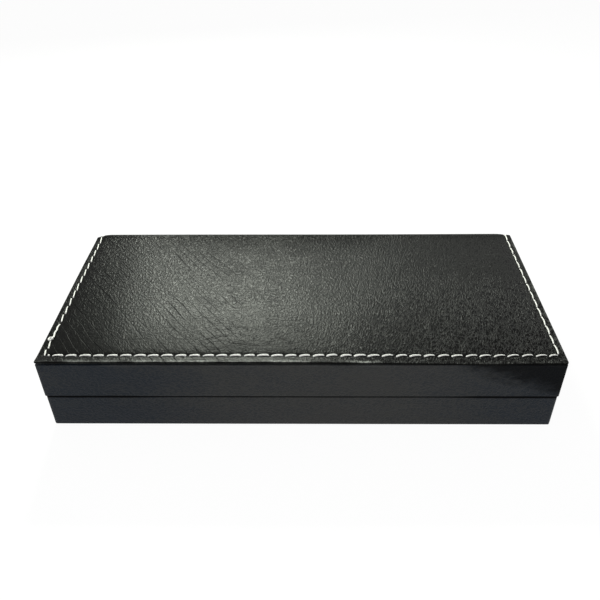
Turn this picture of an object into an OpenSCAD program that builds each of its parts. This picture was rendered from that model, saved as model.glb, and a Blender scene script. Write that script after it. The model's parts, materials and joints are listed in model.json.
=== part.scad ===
// Drafting instrument case: a hinged, leatherette-covered board box with a stitched cover.
// Millimetres. +Z is up, -Y is the front, and the origin is at the middle of the underside.

/* [Case] */
// Width of the closed case, side to side
case_w = 180; // [160:1:220]
// Depth of the closed case, front to back
case_d = 82; // [81:1:110]
// Height of the base, from the table to its rim
base_h = 14.3; // [12:0.1:20]
// Height of the lid, from its rim to the top of the stitched cover
lid_h = 16; // [14:0.1:24]
// Gap between the two rims when the case is shut
seam_gap = 0.4; // [0.1:0.05:0.4]
// How far the base stands in from the lid, at the front, the sides and the back
base_inset = 0.3; // [0:0.1:0.8]
// Radius of the upright corners
corner_r = 0.8; // [0.8:0.1:3]

/* [Boards] */
// Thickness of the wall boards
wall_t = 4; // [3.5:0.1:5]
// Thickness of the lid's top board
top_board_t = 2.5; // [1.5:0.1:3.5]
// Thickness of the base's bottom board
bottom_board_t = 2.5; // [1.5:0.1:3.5]

/* [Leatherette] */
// Thickness of the leatherette round the sides
wrap_t = 0.6; // [0.4:0.05:0.8]
// How far the side leatherette is turned in over the top and bottom boards
turn_in = 8; // [5:0.5:15]
// Thickness of the stitched cover
cover_t = 0.8; // [0.6:0.05:1.2]
// How far above the hinge axis the cover's back flap ends
flap_rise = 2; // [1.8:0.1:5]
// Thickness of the foam underlay below the cover
underlay_t = 0.4; // [0.4:0.1:1.5]
// How far the underlay stands in from the cover's edges
underlay_inset = 4; // [3:0.5:10]

/* [Stitching] */
// Diameter of the sewing thread
thread_d = 0.5; // [0.3:0.05:0.7]
// Depth of the line that the stitches pull into the cover
stitch_groove_d = 0.25; // [0.1:0.05:0.3]
// Width of that line
stitch_groove_w = 1.4; // [1.3:0.1:2]
// Stitch pitch along the front and along the flap
front_pitch = 4.66; // [3:0.01:6]
// Stitch pitch along the two sides
side_pitch = 5; // [3:0.01:6]
// Gap between one stitch and the next
stitch_gap = 1; // [0.8:0.1:1.5]
// Distance of the front row from the cover's front edge
front_row_inset = 3.5; // [2.5:0.1:8]
// Distance of the left row from the cover's left edge
left_row_inset = 2.5; // [1.5:0.1:8]
// Distance of the right row from the cover's right edge
right_row_inset = 2.4; // [1.5:0.1:8]
// Distance of the flap's row from the flap's lower edge
flap_row_inset = 2.6; // [1.5:0.1:4]
// Length left bare at the start of the front row
front_row_start = 2.4; // [1:0.1:4]
// Slant of the front stitches to their row, in degrees
front_slant = 8; // [-8:1:8]
// Slant of the left stitches to their row, in degrees
left_slant = 9; // [-9:1:9]
// Slant of the right stitches to their row, in degrees
right_slant = -1; // [-9:1:9]

/* [Hinges] */
// Distance of each hinge's middle from its side of the case
hinge_inset = 35; // [20:1:50]
// Length of a hinge along its pin
hinge_l = 22; // [18:0.5:30]
// Length of the lid leaf's middle knuckle
middle_knuckle_l = 10; // [8:0.5:12]
// Outer diameter of the knuckles
knuckle_d = 3; // [2.4:0.1:3]
// Diameter of the hinge pin
pin_d = 1.5; // [1:0.1:1.6]
// Thickness of the hinge leaves
leaf_t = 0.8; // [0.6:0.05:1]
// Width of a leaf, from the hinge axis to its inner edge
leaf_w = 3.3; // [3.25:0.05:3.4]
// How far the hinge axis lies inside the back of the base
axis_inset = 1.3; // [1.2:0.05:1.6]
// How far the lid opens, in degrees
lid_open = 98; // [80:1:105]
// Distance of the screws from the hinge axis
screw_y = 2.35; // [2.3:0.05:2.4]
// Spacing of the lid leaf's two screws
lid_screw_spacing = 5.6; // [4:0.1:6]
// Spacing of the base leaf's two screws
base_screw_spacing = 16; // [14:0.5:17]
// Diameter of the screws' shanks
screw_d = 1; // [0.8:0.05:1.2]
// Diameter of the screws' heads
screw_head_d = 1.6; // [1.3:0.1:1.6]
// Length of the screws below the leaf
screw_l = 5; // [3:0.5:6]

/* [Magnets] */
// Distance of each magnet's middle from its side of the case
magnet_inset = 40; // [20:1:50]
// Length of a magnet
magnet_l = 12; // [6:0.5:20]
// Thickness of a magnet, through the wall
magnet_t = 2; // [1.5:0.1:2.5]
// Height of a magnet, away from the rim
magnet_h = 4; // [3:0.5:6]

/* [Lining] */
// Thickness of the collar strips that line the base
collar_t = 1.2; // [0.8:0.1:1.6]
// How far the collar stands above the base's rim
collar_rise = 3; // [2:0.5:4]
// Gap between the collar and the inside of the lid
collar_gap = 0.3; // [0.2:0.05:0.6]
// Thickness of the lid's lining strips
liner_t = 1.2; // [0.8:0.1:1.6]
// Gap between the top of the collar and the lid's lining strips
liner_gap = 0.6; // [0.4:0.1:1.5]
// Thickness of the card behind the lid's pad
pad_card_t = 1; // [0.6:0.1:1.5]
// Thickness of the lid's pad at its middle
pad_t = 5; // [3:0.1:5.5]
// Height of the pad's upright edge, where it meets its card
pad_edge_t = 2; // [1:0.1:2.5]
// Width of the pad's sloping border
pad_slope_w = 9; // [4:0.5:14]
// Radius of the pad's corners
pad_corner_r = 3; // [2:0.5:6]
// Thickness of the felt below the base
felt_t = 0.4; // [0.3:0.1:1]
// How far the felt stands in from the base's sides
felt_inset = 2.5; // [2:0.5:6]

/* [Instrument tray] */
// How far the tray's face lies below the base's rim
tray_drop = 0.2; // [0.1:0.1:1]
// Thickness of the sheet that floors the recesses
tray_floor_t = 1.5; // [1:0.1:2.5]
// Width of foam left round the recesses
tray_edge = 3; // [2:0.1:3.2]
// Width of the ridges between the recesses
ridge = 2.2; // [1.8:0.1:2.4]
// Diameter of the recess for the large compass's head
compass_head_d = 17; // [14:0.5:17]
// Width of the recess for the large compass's legs
compass_leg_w = 13; // [9:0.5:14]
// Length of the recess for the large compass
compass_l = 156; // [130:1:158]
// Diameter of the recess for the divider's head
divider_head_d = 14; // [12:0.5:14]
// Width of the recess for the divider's legs
divider_leg_w = 10; // [8:0.5:11]
// Length of the recess for the divider
divider_l = 138; // [110:1:150]
// Width of the recess for the instruments' handles
handle_w = 7; // [6:0.5:8]
// Length of the recess for the instruments' handles
handle_l = 12; // [8:0.5:16]
// Length of the cross slot for the bow compass's wheel
wheel_slot_l = 16; // [13:0.5:16]
// Width of the cross slot for the bow compass's wheel
wheel_slot_w = 8; // [6:0.5:10]
// Width of the recess for the bow compass's legs
bow_leg_w = 11; // [8:0.5:12]
// Length of the recess for the bow compass
bow_l = 92; // [70:1:100]
// Width of the slots for the extension bar and the ruling pen
bar_slot_w = 8; // [6:0.5:8]
// Length of the slot for the extension bar
bar_l = 92; // [60:1:100]
// Radius of the thumb scoops
scoop_r = 12; // [10:0.5:16]
// Depth of the thumb scoops
scoop_depth = 5; // [3:0.1:6]
// Place of the scoop across the two long recesses
long_scoop_x = 8; // [-20:1:20]
// Place of the scoop across the two short recesses
short_scoop_x = -22; // [-30:1:-16]

/* [Hidden] */
$fn = 48;

leatherette = [0.06, 0.065, 0.065];
thread_white = [0.9, 0.9, 0.87];
board_brown = [0.55, 0.42, 0.28];
card_grey = [0.5, 0.49, 0.46];
lining_black = [0.1, 0.1, 0.11];
nickel = [0.75, 0.74, 0.7];

fit_gap = 0.05;       // between pieces that are pressed or glued into a pocket
run_gap = 0.2;        // round the knuckles, where the two shells turn
pin_run_gap = 0.04;   // between the pin and the knuckle that turns on it
past = 1;             // how far a cut runs past the face that it opens

// Outer faces of the two shells. The cover's flap and its threads lie outside the lid's back.
thread_proud = thread_d - stitch_groove_d;
flap_y = case_d / 2 - thread_proud;
lid_x = case_w / 2;
lid_y0 = -case_d / 2;
lid_y1 = flap_y - cover_t;
base_x = case_w / 2 - base_inset;
base_y0 = -case_d / 2 + base_inset;
base_y1 = case_d / 2 - base_inset;

// Inner faces. The collar fills the base's, and the lid's stand off from it by collar_gap.
cavity_x = lid_x - 2 * wrap_t - wall_t - collar_gap;
cavity_y0 = lid_y0 + 2 * wrap_t + wall_t + collar_gap;
cavity_y1 = base_y1 - 2 * wrap_t - wall_t;

// A shell is [outer half width, outer front, outer back, inner half width, inner front,
// inner back, height from rim to cap, thickness of the board at its cap].
base_shell = [base_x, base_y0, base_y1, cavity_x, cavity_y0, cavity_y1,
  base_h - felt_t, bottom_board_t];
lid_shell = [lid_x, lid_y0, lid_y1, cavity_x + collar_gap, cavity_y0 - collar_gap,
  cavity_y1 + collar_gap, lid_h - cover_t - underlay_t, top_board_t];

// Levels, from the table up
floor_z = felt_t + wrap_t + bottom_board_t;
lid_z = base_h + seam_gap;
cover_top_z = lid_z + lid_h;
underlay_z = lid_z + lid_shell[6];
ceiling_z = underlay_z - wrap_t - top_board_t;
collar_z = base_h + collar_rise;
liner_z = collar_z + liner_gap;

// The cover bends round the underlay's edge, so that its flap lies flat on the lid's back
cover_bend_r = cover_t + underlay_t;

// Hinge axis, and the bevels behind it that let the lid swing back
axis_y = base_y1 - axis_inset;
axis_z = base_h + seam_gap / 2;
bevel_spare = 2;      // degrees between the bevels when the lid is fully open
bevel = (lid_open + bevel_spare) / 2;
flap_z = axis_z + flap_rise;
hinge_x = case_w / 2 - hinge_inset;
magnet_x = case_w / 2 - magnet_inset;
outer_knuckle_l = (hinge_l - middle_knuckle_l) / 2;
knuckle_gap = 0.15;   // between one knuckle and the next

// Stitch rows
left_row_x = -lid_x + left_row_inset;
right_row_x = lid_x - right_row_inset;
front_row_y = lid_y0 + front_row_inset;
flap_row_z = flap_z + flap_row_inset;

// Tray
tray_gap = 0.3;       // between the tray and the collar
tray_x = cavity_x - collar_t - tray_gap;
tray_y0 = cavity_y0 + collar_t + tray_gap;
tray_y1 = cavity_y1 - collar_t - tray_gap;
tray_top_z = base_h - tray_drop;
recess_z = floor_z + tray_floor_t;
bar_row_y = tray_y0 + tray_edge + bar_slot_w / 2;
bow_row_y = bar_row_y + bar_slot_w / 2 + ridge + wheel_slot_l / 2;
divider_row_y = bow_row_y + wheel_slot_l / 2 + ridge + divider_head_d / 2;
compass_row_y = divider_row_y + divider_head_d / 2 + ridge + compass_head_d / 2;
recess_x0 = -tray_x + tray_edge;
recess_x1 = tray_x - tray_edge;
well_w = divider_head_d;
well_corner_r = 2.5;

// ---------- shapes shared by the pieces ----------

// A rectangle with arcs at its corners, from y0 to y1 and as wide on both sides of the middle
module outline(half_w, y0, y1, r) {
  translate([-half_w + r, y0]) square([2 * (half_w - r), y1 - y0]);
  translate([-half_w, y0 + r]) square([2 * half_w, y1 - y0 - 2 * r]);
  for (x = [-half_w + r, half_w - r], y = [y0 + r, y1 - r]) translate([x, y]) circle(r);
}

// A plain rectangle of the same kind
module rectangle(half_w, y0, y1) {
  translate([-half_w, y0]) square([2 * half_w, y1 - y0]);
}

module slab(z0, z1) {
  translate([0, 0, z0]) linear_extrude(z1 - z0) children();
}

// Puts a shell that is drawn from its rim up into its place: the base hangs below its rim
module place_base() { translate([0, 0, base_h]) mirror([0, 0, 1]) children(); }
module place_lid() { translate([0, 0, lid_z]) children(); }

function wall_top(s) = s[6] - wrap_t - s[7];

module board_outline(s) {
  outline(s[0] - wrap_t, s[1] + wrap_t, s[2] - wrap_t, corner_r - wrap_t);
}

module inner_outline(s, grow) {
  rectangle(s[3] + grow, s[4] - grow, s[5] + grow);
}

// The opening in the turned-in leatherette on a shell's cap
module cap_opening(s, gap) {
  rectangle(s[0] - turn_in - gap, s[1] + turn_in + gap, s[2] - turn_in - gap);
}

// All four walls of a shell as one ring
module wall_ring(s) {
  slab(wrap_t, wall_top(s)) difference() {
    board_outline(s);
    inner_outline(s, wrap_t);
  }
}

// The part of a shell's space that one wall fills. The front and back walls run the full width.
module wall_space(s, side) {
  x = s[3] + wrap_t;
  y0 = s[4] - wrap_t;
  y1 = s[5] + wrap_t;
  slab(-past, s[6] + past) {
    if (side == "front") rectangle(s[0], s[1], y0);
    if (side == "back") rectangle(s[0], y1, s[2]);
    if (side == "left") translate([-s[0], y0]) square([s[0] - x, y1 - y0]);
    if (side == "right") translate([x, y0]) square([s[0] - x, y1 - y0]);
  }
}

// The leatherette of a shell: round the sides, over the rim, down inside and in over the cap
module wrap_skin(s) {
  difference() {
    slab(0, s[6]) outline(s[0], s[1], s[2], corner_r);
    wall_ring(s);
    slab(wall_top(s), s[6] - wrap_t) board_outline(s);
    slab(-past, wall_top(s)) inner_outline(s, 0);
    slab(s[6] - wrap_t, s[6] + past) cap_opening(s, 0);
  }
}

// ---------- hinge pockets ----------

module at_hinges() {
  for (x = [-hinge_x, hinge_x]) translate([x, axis_y, axis_z]) children();
}

module along_x(d, l) {
  rotate([0, 90, 0]) cylinder(d = d, h = l, center = true);
}

// The wedge behind the axis that the two bevelled back edges leave between them.
// set_in moves its faces in by that much, for the board below the leatherette.
module back_wedge(set_in) {
  tip = -set_in / sin(bevel);
  reach = axis_inset + past - tip;
  translate([-case_w, axis_y, axis_z]) rotate([90, 0, 90]) linear_extrude(2 * case_w)
    polygon([[tip, 0], [tip + reach, reach * tan(bevel)], [tip + reach, -reach * tan(bevel)]]);
}

// Room for the knuckles and for a leaf let into a rim. up is 1 for the lid and -1 for the base.
module hinge_pockets(up) {
  at_hinges() {
    along_x(knuckle_d + 2 * run_gap, hinge_l + 2 * run_gap);
    depth = seam_gap / 2 + leaf_t;
    translate([-hinge_l / 2 - fit_gap, -leaf_w - fit_gap, up > 0 ? 0 : -depth])
      cube([hinge_l + 2 * fit_gap, leaf_w + fit_gap, depth]);
  }
}

module screw_holes(up, spacing, d) {
  at_hinges() for (x = [-spacing / 2, spacing / 2])
    translate([x, -screw_y, up > 0 ? 0 : -screw_l - leaf_t - past])
      cylinder(d = d, h = screw_l + leaf_t + past);
}

module magnet_block(x, up, gap) {
  y = lid_y0 + wrap_t + wall_t / 2;
  z = up > 0 ? lid_z + wrap_t : base_h - wrap_t - magnet_h - gap;
  translate([x - magnet_l / 2 - gap, y - magnet_t / 2 - gap, z])
    cube([magnet_l + 2 * gap, magnet_t + 2 * gap, magnet_h + gap]);
}

module magnet_pockets(up) {
  for (x = [-magnet_x, magnet_x]) magnet_block(x, up, fit_gap);
}

// ---------- walls, boards and leatherette ----------

module base_wall(side) {
  color(board_brown) difference() {
    place_base() intersection() { wall_ring(base_shell); wall_space(base_shell, side); }
    if (side == "front") magnet_pockets(-1);
    if (side == "back") {
      back_wedge(wrap_t);
      hinge_pockets(-1);
      screw_holes(-1, base_screw_spacing, screw_d + 2 * fit_gap);
    }
  }
}

module lid_wall(side) {
  color(board_brown) difference() {
    place_lid() intersection() { wall_ring(lid_shell); wall_space(lid_shell, side); }
    if (side == "front") magnet_pockets(1);
    if (side == "back") {
      back_wedge(wrap_t);
      hinge_pockets(1);
      screw_holes(1, lid_screw_spacing, screw_d + 2 * fit_gap);
    }
  }
}

module base_bottom_board() {
  color(board_brown)
    slab(felt_t + wrap_t, floor_z) board_outline(base_shell);
}

module lid_top_board() {
  color(board_brown)
    slab(ceiling_z, ceiling_z + top_board_t) board_outline(lid_shell);
}

module base_side_wrap() {
  color(leatherette) difference() {
    place_base() wrap_skin(base_shell);
    back_wedge(0);
    hinge_pockets(-1);
  }
}

module lid_side_wrap() {
  color(leatherette) difference() {
    place_lid() wrap_skin(lid_shell);
    back_wedge(0);
    hinge_pockets(1);
  }
}

module base_filler_card() {
  color(card_grey) slab(felt_t, felt_t + wrap_t) cap_opening(base_shell, collar_gap);
}

module lid_filler_card() {
  color(card_grey) slab(underlay_z - wrap_t, underlay_z) cap_opening(lid_shell, collar_gap);
}

module base_felt() {
  color(lining_black) slab(0, felt_t)
    rectangle(base_x - felt_inset, base_y0 + felt_inset, base_y1 - felt_inset);
}

// ---------- stitched cover ----------

module cover_underlay() {
  color(card_grey) slab(underlay_z, underlay_z + underlay_t)
    rectangle(lid_x - underlay_inset, lid_y0 + underlay_inset, lid_y1 - underlay_inset);
}

// Cross-section of the cover, as [y, z]: flat on top, and bent down over the back edge
module cover_section() {
  r = cover_bend_r;
  difference() {
    union() {
      translate([lid_y0, cover_top_z - cover_t]) square([flap_y - r - lid_y0, cover_t]);
      translate([flap_y - cover_t, flap_z]) square([cover_t, cover_top_z - r - flap_z]);
      intersection() {
        translate([flap_y - r, cover_top_z - r]) circle(r);
        translate([flap_y - r, cover_top_z - r]) square([r, r]);
      }
    }
    translate([flap_y - r, cover_top_z - r]) circle(r - cover_t);
  }
}

// Plan of the cover: round corners at the front, square ones at the back
module cover_plan() {
  outline(lid_x, lid_y0, case_d / 2 - corner_r, corner_r);
  rectangle(lid_x, 0, case_d / 2);
}

// The lines that the stitches pull into the cover, on its top and on its flap
module stitch_grooves() {
  w = stitch_groove_w;
  for (x = [left_row_x, right_row_x]) {
    translate([x - w / 2, front_row_y - w / 2, cover_top_z - stitch_groove_d])
      cube([w, case_d, past]);
    translate([x - w / 2, flap_y - stitch_groove_d, flap_row_z - w / 2])
      cube([w, past, cover_top_z]);
  }
  row_l = right_row_x - left_row_x;
  translate([left_row_x, front_row_y - w / 2, cover_top_z - stitch_groove_d])
    cube([row_l, w, past]);
  translate([left_row_x, flap_y - stitch_groove_d, flap_row_z - w / 2])
    cube([row_l, past, w]);
}

module stitched_cover() {
  color(leatherette) difference() {
    intersection() {
      translate([-lid_x, 0, 0]) rotate([90, 0, 90]) linear_extrude(2 * lid_x) cover_section();
      slab(0, cover_top_z + past) cover_plan();
    }
    stitch_grooves();
  }
}

// One stitch, along +X from the origin, with eased ends
module stitch(l) {
  r = thread_d / 2;
  ease = r / 2;
  rotate([0, 90, 0]) rotate_extrude($fn = 16)
    polygon([[0, 0], [ease, 0], [r, ease], [r, l - ease], [ease, l], [0, l]]);
}

// A row of stitches along +X. Each turns about its own middle by the slant.
module stitch_row(row_l, pitch, start, slant) {
  l = pitch - stitch_gap;
  for (i = [0 : floor((row_l - start) / pitch) - 1])
    translate([start + (i + 0.5) * pitch, 0, 0]) rotate([0, 0, slant])
      translate([-l / 2, 0, 0]) stitch(l);
}

module cover_stitching() {
  z = cover_top_z + thread_proud - thread_d / 2;
  y = flap_y + thread_proud - thread_d / 2;
  front_l = right_row_x - left_row_x;
  side_l = flap_y - cover_bend_r - front_row_y;
  flap_l = cover_top_z - cover_bend_r - flap_row_z;
  color(thread_white) {
    translate([left_row_x, front_row_y, z])
      stitch_row(front_l, front_pitch, front_row_start, front_slant);
    translate([left_row_x, front_row_y, z]) rotate([0, 0, 90])
      stitch_row(side_l, side_pitch, stitch_gap, left_slant);
    translate([right_row_x, front_row_y, z]) rotate([0, 0, 90])
      stitch_row(side_l, side_pitch, stitch_gap, right_slant);
    translate([left_row_x, y, flap_row_z])
      stitch_row(front_l, front_pitch, front_row_start, 0);
    for (x = [left_row_x, right_row_x])
      translate([x, y, flap_row_z]) rotate([0, -90, 0])
        stitch_row(flap_l, side_pitch, stitch_gap, 0);
  }
}

// ---------- hinges ----------

module knuckle(x0, x1, bore_d) {
  translate([(x0 + x1) / 2, 0, 0]) difference() {
    along_x(knuckle_d, x1 - x0);
    along_x(bore_d, x1 - x0 + 2 * past);
  }
}

// A leaf in the rim, cut back round the other leaf's knuckles. up is 1 for the lid's.
module leaf_plate(up, spacing) {
  clear = knuckle_d / 2 + run_gap;
  mid = middle_knuckle_l / 2;
  z = up > 0 ? seam_gap / 2 : -seam_gap / 2 - leaf_t;
  difference() {
    translate([-hinge_l / 2, -leaf_w, z]) cube([hinge_l, leaf_w, leaf_t]);
    if (up > 0) {
      for (x = [-hinge_l / 2 - past, mid])
        translate([x, -clear, -past]) cube([outer_knuckle_l + past, clear + past, 3 * past]);
    } else {
      translate([-mid, -clear, -3 * past / 2]) cube([2 * mid, clear + past, 3 * past]);
    }
    rotate([0, 90, 0]) cylinder(d = pin_d + 2 * pin_run_gap, h = 2 * hinge_l, center = true);
    for (x = [-spacing / 2, spacing / 2]) translate([x, -screw_y, 0]) {
      cylinder(d = screw_d + 2 * fit_gap, h = 4 * leaf_t, center = true);
      head_cone(up, fit_gap);
    }
  }
}

// The countersink in a leaf, or with no gap the screw head that fills it
module head_cone(up, gap) {
  h = (screw_head_d - screw_d) / 2;
  rotate([up > 0 ? 0 : 180, 0, 0]) translate([0, 0, seam_gap / 2])
    cylinder(d1 = screw_head_d + 2 * gap, d2 = screw_d + 2 * gap, h = h);
}

module lid_leaf(x) {
  mid = middle_knuckle_l / 2;
  color(nickel) translate([x, axis_y, axis_z]) {
    leaf_plate(1, lid_screw_spacing);
    knuckle(-mid + knuckle_gap, mid - knuckle_gap, pin_d + 2 * pin_run_gap);
  }
}

module base_leaf(x) {
  mid = middle_knuckle_l / 2;
  end = hinge_l / 2;
  color(nickel) translate([x, axis_y, axis_z]) {
    leaf_plate(-1, base_screw_spacing);
    knuckle(mid, end, pin_d + 2 * pin_run_gap);
    knuckle(-end, -mid, pin_d + 2 * pin_run_gap);
  }
}

module hinge_pin(x) {
  color(nickel) translate([x, axis_y, axis_z]) along_x(pin_d, hinge_l);
}

module hinge_screws(up, spacing) {
  color(nickel) at_hinges() for (x = [-spacing / 2, spacing / 2])
    translate([x, -screw_y, 0]) {
      head_cone(up, 0);
      translate([0, 0, up > 0 ? seam_gap / 2 : -seam_gap / 2 - screw_l])
        cylinder(d = screw_d, h = screw_l);
    }
}

module magnet(x, up) { color(nickel) magnet_block(x, up, 0); }

// ---------- lining ----------

// One strip of a lining that stands against the inner rectangle, t thick
module lining_strip(side, x, y0, y1, t, z0, z1) {
  color(lining_black) slab(z0, z1) {
    if (side == "front") rectangle(x, y0, y0 + t);
    if (side == "back") rectangle(x, y1 - t, y1);
    if (side == "left") translate([-x, y0 + t]) square([t, y1 - y0 - 2 * t]);
    if (side == "right") translate([x - t, y0 + t]) square([t, y1 - y0 - 2 * t]);
  }
}

module collar(side) {
  lining_strip(side, cavity_x, cavity_y0, cavity_y1, collar_t, floor_z, collar_z);
}

module lid_liner(side) {
  lining_strip(side, lid_shell[3], lid_shell[4], lid_shell[5], liner_t, liner_z, ceiling_z);
}

module pad_outline(shrink) {
  s = liner_t + tray_gap + shrink;
  outline(lid_shell[3] - s, lid_shell[4] + s, lid_shell[5] - s, pad_corner_r);
}

module lid_pad_card() {
  color(card_grey) slab(ceiling_z - pad_card_t, ceiling_z) pad_outline(0);
}

// The pad: an upright edge below its card, then a slope down to a flat middle
module lid_pad() {
  z = ceiling_z - pad_card_t;
  skin = 0.1;
  color(lining_black) hull($fn = 32) {
    slab(z - pad_edge_t, z) pad_outline(0);
    slab(z - pad_t, z - pad_t + skin) pad_outline(pad_slope_w);
  }
}

// ---------- instrument tray ----------

// A slot with round ends, from x0 to x1
module slot(x0, x1, y, w) {
  r = w / 2;
  translate([x0 + r, y - r]) square([x1 - x0 - w, w]);
  for (x = [x0 + r, x1 - r]) translate([x, y]) circle(r);
}

module large_compass_recess() {
  head_x = recess_x0 + handle_l + compass_head_d / 2 - handle_w / 2;
  slot(recess_x0, head_x, compass_row_y, handle_w);
  translate([head_x, compass_row_y]) circle(d = compass_head_d);
  slot(head_x - compass_leg_w / 2, recess_x0 + compass_l, compass_row_y, compass_leg_w);
}

module divider_recess() {
  head_x = recess_x1 - handle_l - divider_head_d / 2 + handle_w / 2;
  slot(head_x, recess_x1, divider_row_y, handle_w);
  translate([head_x, divider_row_y]) circle(d = divider_head_d);
  slot(recess_x1 - divider_l, head_x + divider_leg_w / 2, divider_row_y, divider_leg_w);
}

module bow_compass_recess() {
  wheel_x = recess_x0 + bow_l / 2;
  slot(recess_x0, recess_x0 + bow_l, bow_row_y, bow_leg_w);
  translate([wheel_x, bow_row_y]) rotate(90)
    slot(-wheel_slot_l / 2, wheel_slot_l / 2, 0, wheel_slot_w);
}

// Two wells for spare leads, needles and the small screwdriver
module spares_wells() {
  x0 = recess_x0 + bow_l + ridge;
  w = (recess_x1 - x0 - ridge) / 2;
  for (x = [x0, x0 + w + ridge]) translate([x + w / 2, 0])
    outline(w / 2, bow_row_y - well_w / 2, bow_row_y + well_w / 2, well_corner_r);
}

module bar_and_pen_slots() {
  slot(recess_x0, recess_x0 + bar_l, bar_row_y, bar_slot_w);
  slot(recess_x0 + bar_l + ridge, recess_x1, bar_row_y, bar_slot_w);
}

// A round-bottomed scoop across the ridge between two recesses, from y0 to y1
module thumb_scoop(x, y0, y1) {
  translate([x, y1, tray_top_z + scoop_r - scoop_depth])
    rotate([90, 0, 0]) cylinder(r = scoop_r, h = y1 - y0);
}

module tray_floor_sheet() {
  color(lining_black) slab(floor_z, recess_z) rectangle(tray_x, tray_y0, tray_y1);
}

// The foam block, cut through for each instrument
module instrument_tray() {
  color(lining_black) difference() {
    slab(recess_z, tray_top_z) rectangle(tray_x, tray_y0, tray_y1);
    slab(recess_z - past, tray_top_z + past) {
      large_compass_recess();
      divider_recess();
      bow_compass_recess();
      spares_wells();
      bar_and_pen_slots();
    }
    thumb_scoop(long_scoop_x, divider_row_y, compass_row_y);
    thumb_scoop(short_scoop_x, bar_row_y, bow_row_y);
  }
}

// ---------- the nodes ----------

base_felt();
base_filler_card();
base_bottom_board();
base_wall("front");  // base_front_wall
base_wall("back");  // base_back_wall
base_wall("left");  // base_left_wall
base_wall("right");  // base_right_wall
base_side_wrap();
collar("front");  // collar_front
collar("back");  // collar_back
collar("left");  // collar_left
collar("right");  // collar_right
tray_floor_sheet();
instrument_tray();
magnet(-magnet_x, -1);  // base_magnet_left
magnet(magnet_x, -1);  // base_magnet_right
base_leaf(-hinge_x);  // hinge_left_base_leaf
base_leaf(hinge_x);  // hinge_right_base_leaf
hinge_pin(-hinge_x);  // hinge_left_pin
hinge_pin(hinge_x);  // hinge_right_pin
hinge_screws(-1, base_screw_spacing);  // hinge_screws_base
hinge_screws(1, lid_screw_spacing);  // hinge_screws_lid
lid_leaf(-hinge_x);  // hinge_left_lid_leaf
lid_leaf(hinge_x);  // hinge_right_lid_leaf
magnet(-magnet_x, 1);  // lid_magnet_left
magnet(magnet_x, 1);  // lid_magnet_right
lid_wall("front");  // lid_front_wall
lid_wall("back");  // lid_back_wall
lid_wall("left");  // lid_left_wall
lid_wall("right");  // lid_right_wall
lid_side_wrap();
lid_top_board();
lid_filler_card();
cover_underlay();
stitched_cover();
cover_stitching();
lid_liner("front");  // lid_liner_front
lid_liner("back");  // lid_liner_back
lid_liner("left");  // lid_liner_left
lid_liner("right");  // lid_liner_right
lid_pad_card();
lid_pad();
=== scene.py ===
import json
import math
import random

import bmesh
import bpy
from mathutils import Matrix, Vector, noise

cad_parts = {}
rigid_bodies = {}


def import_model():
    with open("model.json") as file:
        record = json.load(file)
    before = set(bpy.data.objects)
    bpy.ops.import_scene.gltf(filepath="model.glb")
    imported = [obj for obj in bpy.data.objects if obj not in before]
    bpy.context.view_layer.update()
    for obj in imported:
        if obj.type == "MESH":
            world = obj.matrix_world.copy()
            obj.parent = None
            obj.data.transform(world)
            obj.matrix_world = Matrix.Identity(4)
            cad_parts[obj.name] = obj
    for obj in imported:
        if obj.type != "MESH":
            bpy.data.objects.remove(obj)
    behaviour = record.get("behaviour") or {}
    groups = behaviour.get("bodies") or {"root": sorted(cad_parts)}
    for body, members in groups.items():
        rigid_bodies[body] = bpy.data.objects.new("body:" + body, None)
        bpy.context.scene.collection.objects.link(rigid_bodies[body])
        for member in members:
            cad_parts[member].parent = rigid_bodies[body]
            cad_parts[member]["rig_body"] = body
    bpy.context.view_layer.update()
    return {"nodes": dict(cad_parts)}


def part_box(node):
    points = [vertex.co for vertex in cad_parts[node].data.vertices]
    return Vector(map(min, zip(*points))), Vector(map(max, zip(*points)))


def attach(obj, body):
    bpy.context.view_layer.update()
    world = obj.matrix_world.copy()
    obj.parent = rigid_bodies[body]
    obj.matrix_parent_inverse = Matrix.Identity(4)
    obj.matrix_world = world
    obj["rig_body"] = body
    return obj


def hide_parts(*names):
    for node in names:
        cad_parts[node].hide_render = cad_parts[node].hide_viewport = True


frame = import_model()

MM = 0.001

# The case, from the frame
COVER_LOW, COVER_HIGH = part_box("stitched_cover")
LID_LOW, LID_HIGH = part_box("lid_side_wrap")
BASE_LOW, BASE_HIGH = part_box("base_side_wrap")

# The stitched cover, measured flat: u runs to the right from the middle, and v from the front edge over the
# top and down the flap at the back
COVER_THICK = 0.8 * MM
BEND_R = COVER_HIGH.z - LID_HIGH.z
CORNER_R = 0.8 * MM
FOLD_R = 0.36 * MM
TOP_END = COVER_HIGH.y - BEND_R - COVER_LOW.y
BEND_END = TOP_END + BEND_R * math.pi / 2
FLAP_END = BEND_END + COVER_HIGH.z - BEND_R - COVER_LOW.z

# The sewing
THREAD_R = 0.29 * MM
FRONT_ROW = 3.6 * MM
LEFT_ROW = COVER_LOW.x + 2.5 * MM
RIGHT_ROW = COVER_HIGH.x - 2.4 * MM
FLAP_ROW = FLAP_END - 2.6 * MM
PRESSED_DEPTH = 0.16 * MM


# ---------- camera, light and floor ----------

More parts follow.
